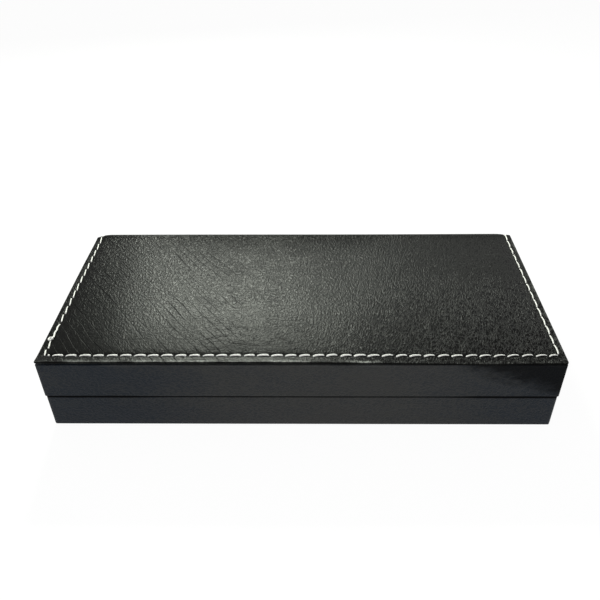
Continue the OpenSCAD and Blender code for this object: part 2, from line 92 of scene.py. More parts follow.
def aim_camera():
    """The camera stands in front of the case and above it, and looks down at its middle."""
    bpy.ops.object.camera_add(location=(5.3 * MM, -202.5 * MM, 180.2 * MM))
    camera = bpy.context.object
    camera.name = "camera"
    pitch, yaw, roll = math.radians(35.95), math.radians(-1.58), math.radians(1.07)
    turn = Matrix.Rotation(-yaw, 3, "Z") @ Matrix.Rotation(math.pi / 2 - pitch, 3, "X")
    camera.rotation_euler = (turn @ Matrix.Rotation(-roll, 3, "Z")).to_euler()
    image_px, focal_px, raised_px = 600, 651.9, 15
    camera.data.sensor_width = 36
    camera.data.lens = focal_px / image_px * camera.data.sensor_width
    camera.data.shift_y = -raised_px / image_px
    camera.data.clip_start = 10 * MM
    bpy.context.scene.camera = camera
    bpy.context.scene.view_settings.view_transform = "Standard"


def add_lamp(name, place, aim, size, watts, tint=(1, 1, 1)):
    """A soft rectangular lamp at place, which faces aim."""
    bpy.ops.object.light_add(type="AREA", location=place)
    lamp = bpy.context.object
    lamp.name = name
    lamp.rotation_euler = (Vector(aim) - Vector(place)).to_track_quat("-Z", "Y").to_euler()
    lamp.data.shape = "RECTANGLE"
    lamp.data.size, lamp.data.size_y = size
    lamp.data.energy = watts
    lamp.data.color = tint


def seen_rays(tree):
    """A socket that is 1 for what the camera sees, straight or in a reflection or through glass."""
    path = tree.nodes.new("ShaderNodeLightPath")
    seen = path.outputs["Is Camera Ray"]
    for ray in ("Is Glossy Ray", "Is Transmission Ray"):
        either = tree.nodes.new("ShaderNodeMath")
        either.operation = "MAXIMUM"
        tree.links.new(seen, either.inputs[0])
        tree.links.new(path.outputs[ray], either.inputs[1])
        seen = either.outputs[0]
    return seen


def light_room():
    """A white room: it looks white, and lights the case softly."""
    world = bpy.data.worlds.new("white room")
    bpy.context.scene.world = world
    world.use_nodes = True
    tree = world.node_tree
    lit = tree.nodes["Background"]
    lit.inputs["Color"].default_value = (1, 1, 1, 1)
    lit.inputs["Strength"].default_value = 0.4
    white = tree.nodes.new("ShaderNodeBackground")
    white.inputs["Color"].default_value = (1, 1, 1, 1)
    white.inputs["Strength"].default_value = 1
    mix = tree.nodes.new("ShaderNodeMixShader")
    tree.links.new(seen_rays(tree), mix.inputs[0])
    tree.links.new(lit.outputs[0], mix.inputs[1])
    tree.links.new(white.outputs[0], mix.inputs[2])
    tree.links.new(mix.outputs[0], tree.nodes["World Output"].inputs["Surface"])
    add_lamp("back lamp", place=(-78 * MM, 300 * MM, 266 * MM), aim=(-26 * MM, -7 * MM, 30 * MM),
             size=(120 * MM, 40 * MM), watts=2.55, tint=(0.95, 1, 0.88))
    add_lamp("front lamp", place=(-20 * MM, -600 * MM, 360 * MM), aim=(0, 0, 20 * MM),
             size=(400 * MM, 300 * MM), watts=1.9)


def lay_floor():
    """A pale floor that glows where it is seen, and still takes the case's shadow."""
    width, glow, glowing_share = 4, 1.1, 0.85
    bpy.ops.mesh.primitive_plane_add(size=width, location=(0, 0, 0))
    floor = bpy.context.object
    floor.name = "floor"
    paint = bpy.data.materials.new("pale floor")
    paint.use_nodes = True
    tree = paint.node_tree
    tree.nodes.clear()
    lit = tree.nodes.new("ShaderNodeBsdfDiffuse")
    lit.inputs["Color"].default_value = (0.6, 0.6, 0.6, 1)
    white = tree.nodes.new("ShaderNodeEmission")
    white.inputs["Strength"].default_value = glow
    seen = tree.nodes.new("ShaderNodeMixShader")
    seen.inputs[0].default_value = glowing_share
    tree.links.new(lit.outputs[0], seen.inputs[1])
    tree.links.new(white.outputs[0], seen.inputs[2])
    mix = tree.nodes.new("ShaderNodeMixShader")
    tree.links.new(seen_rays(tree), mix.inputs[0])
    tree.links.new(lit.outputs[0], mix.inputs[1])
    tree.links.new(seen.outputs[0], mix.inputs[2])
    output = tree.nodes.new("ShaderNodeOutputMaterial")
    tree.links.new(mix.outputs[0], output.inputs["Surface"])
    floor.data.materials.append(paint)


# ---------- finishes ----------

class Wire:
    """One output of a finish's nodes. A sum written with it adds the Math nodes that work it out."""

    def __init__(self, finish, socket):
        self.finish, self.socket = finish, socket

    def maths(self, operation, *values):
        return self.finish.node("ShaderNodeMath", values, operation=operation)

    def __add__(self, other):
        return self.maths("ADD", self, other)

    def __sub__(self, other):
        return self.maths("SUBTRACT", self, other)

    def __rsub__(self, other):
        return self.maths("SUBTRACT", other, self)

    def __mul__(self, other):
        return self.maths("MULTIPLY", self, other)

    def __abs__(self):
        return self.maths("ABSOLUTE", self)

    def all(self):
        """Every output of the same node."""
        return [Wire(self.finish, socket) for socket in self.socket.node.outputs]

    __radd__, __rmul__ = __add__, __mul__


class Finish:
    """A procedural material with one main shader."""

    def __init__(self, name, **constants):
        self.material = bpy.data.materials.new(name)
        self.material.use_nodes = True
        self.tree = self.material.node_tree
        self.shader = self.tree.nodes["Principled BSDF"]
        self.place = self.node("ShaderNodeTexCoord", out="Object")
        for socket, value in constants.items():
            self.shader.inputs[socket.replace("_", " ")].default_value = value

    def node(self, kind, values=(), out=0, **settings):
        """Adds a node: its settings first, then its inputs, and gives one of its outputs."""
        made = self.tree.nodes.new(kind)
        for name, value in settings.items():
            setattr(made, name, value)
        for key, value in values.items() if isinstance(values, dict) else enumerate(values):
            self.feed(made.inputs[key], value)
        return Wire(self, made.outputs[out])

    def feed(self, socket, value):
        if isinstance(value, Wire):
            self.tree.links.new(value.socket, socket)
        else:
            socket.default_value = value

    def scaled(self, x, y, z):
        """The place on the piece, in steps of x, y and z metres."""
        return self.node("ShaderNodeMapping", {"Vector": self.place, "Scale": (1 / x, 1 / y, 1 / z)})

    def slanted(self, x, y, degrees, along, across):
        """The place on a flat piece, in steps that run along and across a line turned from the x axis."""
        turn = math.radians(degrees)
        far = (x * math.cos(turn) + y * math.sin(turn)) * (1 / along)
        aside = (y * math.cos(turn) - x * math.sin(turn)) * (1 / across)
        return self.node("ShaderNodeCombineXYZ", (far, aside))

    def bent(self, place, amount, size):
        """A place pushed about by up to amount steps, by noise of that size in steps."""
        push = self.node("ShaderNodeTexNoise", {"Vector": place, "Scale": 1 / size, "Detail": 1.0},
                         out="Color")
        centred = self.node("ShaderNodeVectorMath", (push, (0.5, 0.5, 0.5)), operation="SUBTRACT")
        scaled = self.node("ShaderNodeVectorMath", {0: centred, "Scale": 2 * amount}, operation="SCALE")
        return self.node("ShaderNodeVectorMath", (place, scaled), operation="ADD")

    def grain(self, place, detail=3.0, roughness=0.5):
        """Noise with one rise and fall to about each step of the place."""
        return self.node("ShaderNodeTexNoise", {"Vector": place, "Scale": 1.0, "Detail": detail,
                                                "Roughness": roughness})

    def cells(self, place):
        """How far a place lies from the borders of small cells, about one to a step."""
        return self.node("ShaderNodeTexVoronoi", {"Vector": place, "Scale": 1.0}, out="Distance",
                         feature="DISTANCE_TO_EDGE")

    def waves(self, place, direction, scale, **shaping):
        """Bands that follow one another in a direction: one to each step of the place at scale 0.314."""
        sockets = {name.replace("_", " "): value for name, value in shaping.items()}
        return self.node("ShaderNodeTexWave", {"Vector": place, "Scale": scale, **sockets}, out="Fac",
                         bands_direction=direction)

    def span(self, value, low, high, to_low=0.0, to_high=1.0, smooth=False):
        """The value stretched from low and high to to_low and to_high, and held there."""
        return self.node("ShaderNodeMapRange", {"Value": value, "From Min": low, "From Max": high,
                                                "To Min": to_low, "To Max": to_high},
                         interpolation_type="SMOOTHSTEP" if smooth else "LINEAR")

    def mix(self, amount, low, high):
        """A number between low and high: a Mix node takes numbers at its inputs 2 and 3."""
        return self.node("ShaderNodeMix", {0: amount, 2: low, 3: high})

    def colour(self, amount, low, high):
        """A colour between low and high: a Mix node takes colours at its inputs 6 and 7."""
        return self.node("ShaderNodeMix", {0: amount, 6: low, 7: high}, out=2, data_type="RGBA")

    def least(self, first, second):
        return self.node("ShaderNodeMath", (first, second), operation="MINIMUM")

    def most(self, first, second):
        return self.node("ShaderNodeMath", (first, second), operation="MAXIMUM")

    def attribute(self, name, out="Fac"):
        return self.node("ShaderNodeAttribute", out=out, attribute_name=name)

    def ridges(self, place, width):
        """Thin raised lines that wander and part: 1 along each line, and 0 away from it."""
        off_line = abs(self.grain(place, detail=1.0) - 0.5)
        return self.span(off_line, 0.0, width, 1.0, 0.0, smooth=True)

    def bump(self, height, distance):
        return self.node("ShaderNodeBump", {"Height": height, "Distance": distance}, out="Normal")

    def show(self, **sockets):
        """Feeds the main shader, and gives the finished material."""
        for name, value in sockets.items():
            self.feed(self.shader.inputs[name.replace("_", " ")], value)
        return self.material

    def paint_shade(self, amount):
        """Mixes dull black over the finish where amount is 1: painted shade."""
        black = self.node("ShaderNodeBsdfDiffuse", {"Color": (0.004, 0.004, 0.004, 1)})
        main = Wire(self, self.shader.outputs[0])
        both = self.node("ShaderNodeMixShader", (amount, main, black))
        self.feed(self.tree.nodes["Material Output"].inputs["Surface"], both)


def cover_leatherette():
    """Black leatherette: pebbled on the left, drawn out from front to back on the right, and creased."""
    f = Finish("cover leatherette", Specular_IOR_Level=0.08)
    f.place = f.attribute("laid_flat", "Vector")
    x, y, _ = f.node("ShaderNodeSeparateXYZ", (f.place,)).all()
    near_row, near_back, past_middle = -35 * MM, 36 * MM, 12 * MM
    fold_low, fold_high = -38.5 * MM, -37 * MM

    # The grain
    left_end = f.span(x, -80 * MM, -35 * MM, 1.0, 0.0, smooth=True)
    drawn = f.span(x - y * 0.35, 4 * MM, 45 * MM, smooth=True)
    pebble_cells = f.cells(f.bent(f.scaled(1.35 * MM, 1.75 * MM, 1.5 * MM), 0.5, 2.0))
    pebbles = f.span(pebble_cells, 0.02, 0.36, smooth=True)
    strokes = f.ridges(f.bent(f.scaled(1.1 * MM, 1.3 * MM, 2 * MM), 0.7, 1.8), 0.13)
    streaks = f.ridges(f.bent(f.slanted(x, y, 78, 2.2 * MM, 0.95 * MM), 0.45, 2.0), 0.15)
    fine = f.grain(f.scaled(0.42 * MM, 0.75 * MM, 0.42 * MM), detail=1.0)
    pebbled = (pebbles * 0.5 + strokes * 0.55) * (1 - left_end * 0.25)
    grain = f.mix(drawn, pebbled, streaks * 1.3 + fine * 0.4)

    # Long creases across the left, and thin stretched lines along the rest
    crease_place = f.slanted(x, y, -52, 13 * MM, 2.9 * MM)
    crease_wave = f.waves(crease_place, "Y", 0.314, Distortion=5.0, Detail=2.0, Detail_Scale=1.2)
    creases = f.span(crease_wave, 0.0, 0.035, 1.0, 0.0, smooth=True)
    handled_patch = f.grain(f.scaled(15 * MM, 18 * MM, 20 * MM), detail=1.0)
    where_creased = f.span(handled_patch, 0.42, 0.58, smooth=True)
    folded = creases * f.span(where_creased, 0.0, 1.0, 0.25, 1.0) * f.span(x, -40 * MM, -15 * MM, 1.0, 0.0)
    lines = f.ridges(f.bent(f.scaled(7 * MM, 2.4 * MM, 4 * MM), 0.4, 1.3), 0.02)
    stretched = lines * where_creased * f.span(x, -50 * MM, -25 * MM)

    # How high it all stands: flatter where the cover is pulled tight
    pebble_depth = f.most(f.span(y, near_row, near_back, 0.38, 1.5),
                          f.span(y, fold_low, fold_high, 0.75, 0.0))
    streak_depth = f.span(y, near_row, past_middle, 2.1, 0.36)
    height = (grain + fine * 0.45) * f.mix(drawn, pebble_depth, streak_depth) + stretched * 0.7 - folded

    # Colour: nearly black in the valleys, a little lighter on the peaks, grey where the coating is worn,
    # and lighter as a painted highlight along the front fold and on the thin stretched lines
    cloud = f.grain(f.scaled(30 * MM, 22 * MM, 22 * MM), detail=2.0)
    valley = f.colour(cloud, (0.002, 0.0021, 0.002, 1), (0.004, 0.0042, 0.0039, 1))
    peak = f.colour(cloud, (0.007, 0.0074, 0.0067, 1), (0.012, 0.0127, 0.0115, 1))
    grain_colour = f.colour(grain * 0.8 + fine * 0.2, valley, peak)
    patch = f.grain(f.scaled(9 * MM, 6 * MM, 6 * MM))
    highlight_and_scuff = f.attribute("wear_and_highlight") * f.span(patch, 0.42, 0.62) * (grain * 0.9 + 0.45)
    worn_and_highlit = f.colour(f.most(highlight_and_scuff, stretched * 0.06), grain_colour, (0.22, 0.229, 0.215, 1))
    # Painted shade in the stitch lines and the needle holes
    pressed = f.attribute("pressed")

    # Painted shade, laid on as dull black: in the hollows of the grain and the creases, and where the sheen
    # falls off at the left end, the back and the band behind the front row
    hollow = f.span(grain * 0.6 + fine * 0.4, 0.22, 0.62, 1.0, 0.0, smooth=True)
    pebble_dull = f.span(y, near_row, near_back, 0.14, 0.32)
    streak_dull = f.span(y, -32 * MM, 8 * MM, 0.9, 0.16) * f.span(x, 20 * MM, 70 * MM, 0.5, 1.0)
    dull = f.most(hollow * f.mix(drawn, pebble_dull, streak_dull), folded * 0.75)
    at_left = (f.span(x + y * 0.2, -82 * MM, -50 * MM, 0.54, 0.0, smooth=True)
               * f.span(y, -39.2 * MM, -37.5 * MM, 0.45))
    at_back = (f.span(y, 20 * MM, 41 * MM, smooth=True)
               * f.span(abs(x + 10 * MM), 25 * MM, 60 * MM, 0.5, 0.18, smooth=True))
    by_row = (f.span(y, -36 * MM, -12 * MM, 0.48, 0.0) * f.span(y, fold_low, fold_high) * (patch + 0.5)
              * f.span(x, -5 * MM, 20 * MM, 1.0, 0.25))
    sheen_falloff_shade = f.most(f.most(at_left, at_back), by_row)
    f.paint_shade(f.most(f.attribute("painted_shade"), sheen_falloff_shade + dull * (1 - sheen_falloff_shade)))
    return f.show(Base_Color=f.colour(pressed * 0.85, worn_and_highlit, (0.002, 0.002, 0.002, 1)),
                  Roughness=f.span(grain, 0.1, 1.0, 0.39, 0.35) + pressed * 0.1 - left_end * 0.09,
                  Normal=f.bump(height, 0.105 * MM))


def side_leatherette(name, low, high, cap_z, rim_z, overhang_shadow):
    """Black leatherette with a very fine grain, lighter at its edges (wear and a painted highlight) and in
    the middle (a painted reflection).

    Where asked, a painted shadow of the cover's overhang runs down its right corner.
    """
    f = Finish(name, Specular_IOR_Level=0.12)
    x, y, z = f.node("ShaderNodeSeparateXYZ", (f.place,)).all()

    # The grain, the long wrinkles and the way it was pulled round the box
    grain_cells = f.cells(f.bent(f.scaled(0.6 * MM, 0.6 * MM, 0.5 * MM), 0.3, 2.0))
    grain = f.span(grain_cells, 0.0, 0.3, smooth=True)
    pull = f.grain(f.scaled(9 * MM, 9 * MM, 1.1 * MM), detail=3.0)
    wrinkles = f.ridges(f.bent(f.scaled(1.7 * MM, 1.7 * MM, 1.2 * MM), 0.5, 2.0), 0.12)

    # Colour: painted reflections make the dark tone bluish and lighter in the middle; wear and a painted
    # highlight lighten its edges and corners
    cloud = f.grain(f.scaled(20 * MM, 20 * MM, 9 * MM), detail=3.0)
    middle_reflection = f.span(abs(x - 10 * MM), 15 * MM, 85 * MM, 1.0, 0.0, smooth=True)
    shade = (middle_reflection * 0.8 + (cloud - 0.5) * 0.95 + (grain - 0.5) * 0.2 + (pull - 0.5) * 0.2
             + wrinkles * 0.34 - 0.05)
    flat = f.colour(shade, (0.009, 0.0125, 0.0175, 1), (0.034, 0.0345, 0.0335, 1))
    off_side, off_front = high.x - abs(x), y - low.y
    off_cap, off_rim = abs(z - cap_z), abs(z - rim_z)
    off_edge = f.least(f.most(off_side, off_cap), f.most(off_front, off_cap))
    off_corner = f.most(off_side, off_front)
    patch = f.span(f.grain(f.scaled(13 * MM, 9 * MM, 2 * MM), detail=2.0), 0.4, 0.65)
    wear_and_highlight = f.most(f.span(off_edge, 0.0, 0.6 * MM, 1.0, 0.0) * patch * 0.6,
                    f.span(off_corner, 0.0, 1.2 * MM, 0.4, 0.0))

    # Painted shade along the rim, in the seam between lid and base, wider towards both ends
    wide = (f.most(f.span(x, -60 * MM, -45 * MM, 0.45, 0.0), f.span(x, 50 * MM, 62 * MM, 0.0, 0.5))
            + (pull - 0.5) * 0.6)
    painted_shade = f.span(off_rim * (1 - wide), 0.12 * MM, 0.34 * MM, 0.92, 0.0, smooth=True)
    # Painted shadow of the cover's overhang, down the lid's right corner
    if overhang_shadow:
        shadow_noise = f.grain(f.scaled(5 * MM, 5 * MM, 2.5 * MM), detail=4.0, roughness=0.65)
        run = (x - 56 * MM) * 0.4 + 1 * MM - off_cap + (shadow_noise - 0.5) * 12 * MM
        at_corner = f.span(x, 30 * MM, 60 * MM)
        painted_shade = f.most(painted_shade, f.span(run, -4 * MM, 6 * MM, 0.0, 0.8, smooth=True) * at_corner)
    f.paint_shade(painted_shade)
    return f.show(Base_Color=f.colour(wear_and_highlight, flat, (0.060, 0.063, 0.064, 1)),
                  Roughness=f.span(cloud, 0.3, 0.7, 0.48, 0.6),
                  Normal=f.bump(grain * 0.4 + pull * 0.3 + wrinkles * 0.8, 0.12 * MM))


def sewing_thread():
    """Off-white twisted thread."""
    f = Finish("sewing thread", Specular_IOR_Level=0.3, Sheen_Weight=0.2)
    ply = f.waves(f.scaled(MM, MM, MM), "DIAGONAL", 0.5, Distortion=0.6)
    fuzz = f.grain(f.scaled(0.12 * MM, 0.12 * MM, 0.12 * MM), detail=2.0)
    return f.show(Base_Color=f.colour(ply * 0.6 + fuzz * 0.4, (0.66, 0.66, 0.63, 1), (0.90, 0.90, 0.87, 1)),
                  Roughness=f.span(fuzz, 0.3, 0.7, 0.6, 0.85), Normal=f.bump(ply + fuzz * 0.5, 0.05 * MM))


def pile(name, dark, light, size, depth):
    """Short pile, such as velvet, flock or felt: a soft fuzz with brushed patches."""
    f = Finish(name, Specular_IOR_Level=0.15, Sheen_Weight=0.45, Sheen_Roughness=0.4)
    fibres = f.grain(f.scaled(size, size, size), detail=3.0, roughness=0.7)
    brushed = f.grain(f.scaled(16 * MM, 9 * MM, 9 * MM), detail=2.0)
    return f.show(Base_Color=f.colour(f.span(fibres * 0.6 + brushed * 0.5, 0.35, 0.8), dark, light),
                  Roughness=f.span(brushed, 0.3, 0.7, 0.88, 0.98), Normal=f.bump(fibres, depth))


def satin():
    """Dark satin: a very fine weave with a soft shine."""
    f = Finish("satin lining", Specular_IOR_Level=0.5, Sheen_Weight=0.25)
    place = f.scaled(MM, MM, MM)
    weave = f.waves(place, "X", 1.6) * 0.7 + f.waves(place, "Y", 1.0) * 0.3
    shade = f.grain(f.scaled(14 * MM, 14 * MM, 14 * MM), detail=1.0)
    dark, light = (0.016, 0.017, 0.022, 1), (0.040, 0.041, 0.050, 1)
    return f.show(Base_Color=f.colour(weave * 0.5 + shade * 0.5, dark, light),
                  Roughness=f.span(weave, 0.0, 1.0, 0.3, 0.44), Normal=f.bump(weave, 0.02 * MM))


def pressed_board(name, dark, light):
    """Grey or brown board with flecks of fibre."""
    f = Finish(name, Specular_IOR_Level=0.2)
    flecks = f.grain(f.scaled(1.2 * MM, 0.5 * MM, 0.5 * MM), detail=4.0, roughness=0.7)
    return f.show(Base_Color=f.colour(f.span(flecks, 0.35, 0.7), dark, light),
                  Roughness=f.span(flecks, 0.3, 0.7, 0.8, 0.95), Normal=f.bump(flecks, 0.08 * MM))


def nickel_plate():
    """Nickel plate, with fine brushing and a few dull spots."""
    f = Finish("nickel plate", Metallic=1.0)
    brushing = f.grain(f.scaled(2.5 * MM, 0.12 * MM, 0.12 * MM), detail=2.0)
    spots = f.grain(f.scaled(1.5 * MM, 1.5 * MM, 1.5 * MM), detail=3.0)
    return f.show(Base_Color=f.colour(spots, (0.60, 0.57, 0.52, 1), (0.78, 0.75, 0.70, 1)),
                  Roughness=f.span(brushing * 0.6 + spots * 0.4, 0.3, 0.7, 0.22, 0.38),
                  Normal=f.bump(brushing, 0.01 * MM))


# ---------- modelling tools ----------

def select_only(piece):
    bpy.ops.object.select_all(action="DESELECT")
    piece.select_set(True)
    bpy.context.view_layer.objects.active = piece


def finish_with(piece, kind, **settings):
    """Adds one modifier to the piece and applies it."""
    select_only(piece)
    bpy.ops.object.modifier_add(type=kind)
    modifier = piece.modifiers[-1]
    for name, value in settings.items():
        setattr(modifier, name, value)
    bpy.ops.object.modifier_apply(modifier=modifier.name)


def smooth(piece, degrees=32):
    select_only(piece)
    bpy.ops.object.shade_smooth_by_angle(angle=math.radians(degrees))


def pick(piece, kind, test):
    """In edit mode, selects just the verts, edges or faces that pass the test."""
    mesh = bmesh.from_edit_mesh(piece.data)
    bpy.ops.mesh.select_all(action="DESELECT")
    bpy.ops.mesh.select_mode(type={"verts": "VERT", "edges": "EDGE", "faces": "FACE"}[kind])
    for part in getattr(mesh, kind):
        part.select_set(bool(test(part)))
    mesh.select_flush_mode()
    bmesh.update_edit_mesh(piece.data)


def copy_of(node, name):
    """A clean copy of a CAD node, with its triangles joined into whole faces."""
    same_point, same_plane = 0.002 * MM, math.radians(0.5)
    piece = bpy.data.objects.new(name, frame["nodes"][node].data.copy())
    bpy.context.scene.collection.objects.link(piece)
    piece.data.materials.clear()
    select_only(piece)
    bpy.ops.object.mode_set(mode="EDIT")
    bpy.ops.mesh.select_all(action="SELECT")
    bpy.ops.mesh.remove_doubles(threshold=same_point)
    bpy.ops.mesh.dissolve_limited(angle_limit=same_plane)
    bpy.ops.mesh.customdata_custom_splitnormals_clear()
    bpy.ops.object.mode_set(mode="OBJECT")
    return piece


def place_in_case(piece, material, slot, *nodes):
    """Gives a finished piece its material and its body, and lets it stand for its CAD nodes."""
    piece.data.materials.clear()
    piece.data.materials.append(material)
    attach(piece, frame["nodes"][nodes[0]]["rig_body"])
    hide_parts(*nodes)


def ease_edges(piece, radius):
    """Rounds every sharp edge a little."""
    finish_with(piece, "BEVEL", width=radius, segments=2, limit_method="ANGLE",
                angle_limit=math.radians(35), use_clamp_overlap=True, harden_normals=False)
    smooth(piece)


# ---------- the stitched cover ----------

def on_cover(u, v, height=0.0):
    """The point that lies at u and v on the cover's outer face, raised by height."""
    if v <= TOP_END:
        return Vector((u, COVER_LOW.y + v, COVER_HIGH.z + height))
    centre = Vector((u, COVER_HIGH.y - BEND_R, COVER_HIGH.z - BEND_R))
    if v <= BEND_END:
        angle = (v - TOP_END) / BEND_R
        return centre + Vector((0, math.sin(angle), math.cos(angle))) * (BEND_R + height)
    return Vector((u, COVER_HIGH.y + height, centre.z - (v - BEND_END)))


def eased(value, low, high):
    """0 up to low, 1 from high on, and a smooth rise between them."""
    share = min(max((value - low) / (high - low), 0.0), 1.0)
    return share * share * (3 - 2 * share)


def bell(off, width):
    """1 in the middle, a third at the width, and almost 0 from twice the width on."""
    return math.exp(-(off / width) ** 2)


def along_row(start, pitch, length, end):
    """Where each stitch of a row starts and ends, from start on, as far as end."""
    count = int((end - start - length) / pitch) + 1
    return [(start + i * pitch, start + i * pitch + length) for i in range(count)]


# Each row's place across the cover, and where each of its stitches starts and ends
LONG_ROW = ([(-86.15 * MM, -85.75 * MM)] + along_row(-84.55 * MM, 4.698 * MM, 3.62 * MM, 84 * MM)
            + [(84.35 * MM, 87 * MM)])
SEWING = {
    "front": (FRONT_ROW, LONG_ROW),
    "flap": (FLAP_ROW, LONG_ROW),
    "left": (LEFT_ROW, [(3.7 * MM, 6.6 * MM)] + along_row(7.4 * MM, 4.885 * MM, 4.25 * MM, FLAP_ROW)),
    "right": (RIGHT_ROW, along_row(4.7 * MM, 5.126 * MM, 4.4 * MM, FLAP_ROW)),
}
# The stitches of the left row that have come loose, counted from 0
LOOSE_STITCHES = (2, 3)


def pull_of_row(across, along, stitches):
    """How a row of stitches presses the leather: a shallow line, with a pit at each needle hole.

    Gives how deep the line sinks, and how much painted shade goes into the line and the holes.
    """
    reach, past_end = 2.4 * MM, 1 * MM
    line_width, hole_width, hole_depth = 0.8 * MM, 0.45 * MM, 0.26 * MM
    if abs(across) > reach or not stitches[0][0] - past_end < along < stitches[-1][1] + past_end:
        return 0.0, 0.0
    line = bell(across, line_width)
    to_hole = min(abs(along - end) for pair in stitches for end in pair)
    pit = bell(to_hole, hole_width) * bell(across, hole_width)
    return line * PRESSED_DEPTH + pit * hole_depth, min(1.0, line * 0.3 + pit * 0.8)


def bulge(u, v):
    """The padding lifts the cover a little away from its edges, and rolls over the back edge."""
    padding_rise, roll_rise, roll_width = 0.34 * MM, 0.3 * MM, 2.2 * MM
    inward = min(u - COVER_LOW.x, COVER_HIGH.x - u, v)
    down_flap = eased(v, BEND_END, FLAP_END - 3 * MM)
    padding = padding_rise * (1 - down_flap) * eased(inward, 0, 7 * MM)
    plump_left = 2 - eased(u, -80 * MM, 40 * MM)
    roll = roll_rise * plump_left * bell(v - (TOP_END + BEND_END) / 2, roll_width)
    return padding + roll * eased(inward, -1.5 * MM, 3 * MM)


def sag(u, v):
    """The front fold stands up on the left and droops on the right. The back left corner hangs a little."""
    reach, ripple_length = 6 * MM, 14 * MM
    ripple = 0.06 * MM * noise.noise(Vector((u / ripple_length, 0.3, 0)))
    lift = 0.42 * MM * (1 - eased(u, -10 * MM, 32 * MM))
    droop = 0.6 * MM * bell(u - 62 * MM, 19 * MM)
    front = (ripple + lift - droop) * max(1 - v / reach, 0.0) ** 2
    hang = 0.4 * MM * bell(u - COVER_LOW.x, 2.6 * MM) * bell(v - TOP_END, 16 * MM)
    return front - hang


def graded(low, high, band, fine, coarse):
    """Places from low to high, close together within a band at each end and wider between."""
    edge = [i * fine for i in range(int(band / fine))]
    middle = high - low - 2 * band
    steps = round(middle / coarse)
    inner = [band + middle * i / steps for i in range(steps + 1)]
    return [low + e for e in edge] + [low + i for i in inner] + [high - e for e in reversed(edge)]


def round_corner(u, v):
    """Moves a point of the square sheet onto its rounded front corners."""
    across = CORNER_R - min(u - COVER_LOW.x, COVER_HIGH.x - u)
    along = CORNER_R - v
    if across <= 0 or along <= 0:
        return u, v
    a, b = across / CORNER_R, along / CORNER_R
    a, b = a * math.sqrt(1 - b * b / 2), b * math.sqrt(1 - a * a / 2)
    side = 1 if u > 0 else -1
    return side * (COVER_HIGH.x - CORNER_R + a * CORNER_R), CORNER_R - b * CORNER_R


def make_cover(material):
    """The cover: a sheet bent down at the back, pulled in along its sewing and rounded at its edges."""
    us = graded(COVER_LOW.x, COVER_HIGH.x, band=5 * MM, fine=0.42 * MM, coarse=0.62 * MM)
    vs = graded(0.0, FLAP_END, band=6 * MM, fine=0.42 * MM, coarse=0.68 * MM)
    bpy.ops.object.select_all(action="DESELECT")
    bpy.ops.mesh.primitive_grid_add(x_subdivisions=len(us) - 1, y_subdivisions=len(vs) - 1, size=1)
    piece = bpy.context.object
    piece.name = "cover_leather"
    made = piece.data.attributes
    made.new("laid_flat", "FLOAT_VECTOR", "POINT")
    for name in ("pressed", "wear_and_highlight", "painted_shade"):
        made.new(name, "FLOAT", "POINT")
    flat, pressed_in, lightening = made["laid_flat"].data, made["pressed"].data, made["wear_and_highlight"].data
    lightened_width = 0.5 * MM
    for i, vertex in enumerate(piece.data.vertices):
        row, column = divmod(i, len(us))
        u, v = us[column], vs[row]
        depth = darkness = 0.0
        for name, (place, stitches) in SEWING.items():
            across, along = (v - place, u) if name in ("front", "flap") else (u - place, v)
            pulled, pressed = pull_of_row(across, along, stitches)
            depth, darkness = max(depth, pulled), max(darkness, pressed)
        to_side = min(u - COVER_LOW.x, COVER_HIGH.x - u)
        # A painted highlight along the front fold, and wear along the sides
        front_highlight = bell(v - 0.5 * MM, lightened_width) * (1 - 0.88 * eased(u, 16 * MM, 40 * MM))
        side_wear = 0.22 * bell(to_side - 0.4 * MM, lightened_width)
        height = bulge(u, v) + sag(u, v) - depth
        vertex.co = on_cover(*round_corner(u, v), height)
        flat[i].vector = (u, COVER_LOW.y + v, COVER_HIGH.z)
        # Painted shade where the stitches press in
        pressed_in[i].value = darkness
        lightening[i].value = max(front_highlight, side_wear)
    finish_with(piece, "SOLIDIFY", thickness=COVER_THICK, offset=-1)
    bpy.ops.object.mode_set(mode="EDIT")
    fold = math.radians(60)
    pick(piece, "edges", lambda e: len(e.link_faces) == 2 and e.calc_face_angle(0) > fold)
    bpy.ops.mesh.bevel(offset=FOLD_R, segments=3, affect="EDGES", clamp_overlap=False)
    bpy.ops.object.mode_set(mode="OBJECT")
    shade_lower_edge(piece)
    smooth(piece, 60)
    place_in_case(piece, material, "cover_leatherette", "stitched_cover")


def shade_lower_edge(piece):
    """The folded edge's face is painted black at the front and the sides, as painted shade under the fold,
    and a thin lip below it gets a painted highlight.
    """
    painted_shade = piece.data.attributes["painted_shade"].data
    lightening = piece.data.attributes["wear_and_highlight"].data
    on_edge, lip_highlight = 0.25 * MM, 0.3
    for i, vertex in enumerate(piece.data.vertices):
        x, y, z = vertex.co
        off_outline = min(x - COVER_LOW.x, COVER_HIGH.x - x, y - COVER_LOW.y)
        below = COVER_HIGH.z + sag(x, y - COVER_LOW.y) - z
        if off_outline < on_edge and y < COVER_HIGH.y - BEND_R:
            lip = eased(below, 0.5 * MM, 0.7 * MM)
            painted_shade[i].value = eased(below, 0.04 * MM, 0.2 * MM) * (1 - lip)
            lightening[i].value = lightening[i].value * (1 - lip) + lip_highlight * lip


# ---------- the sewing ----------

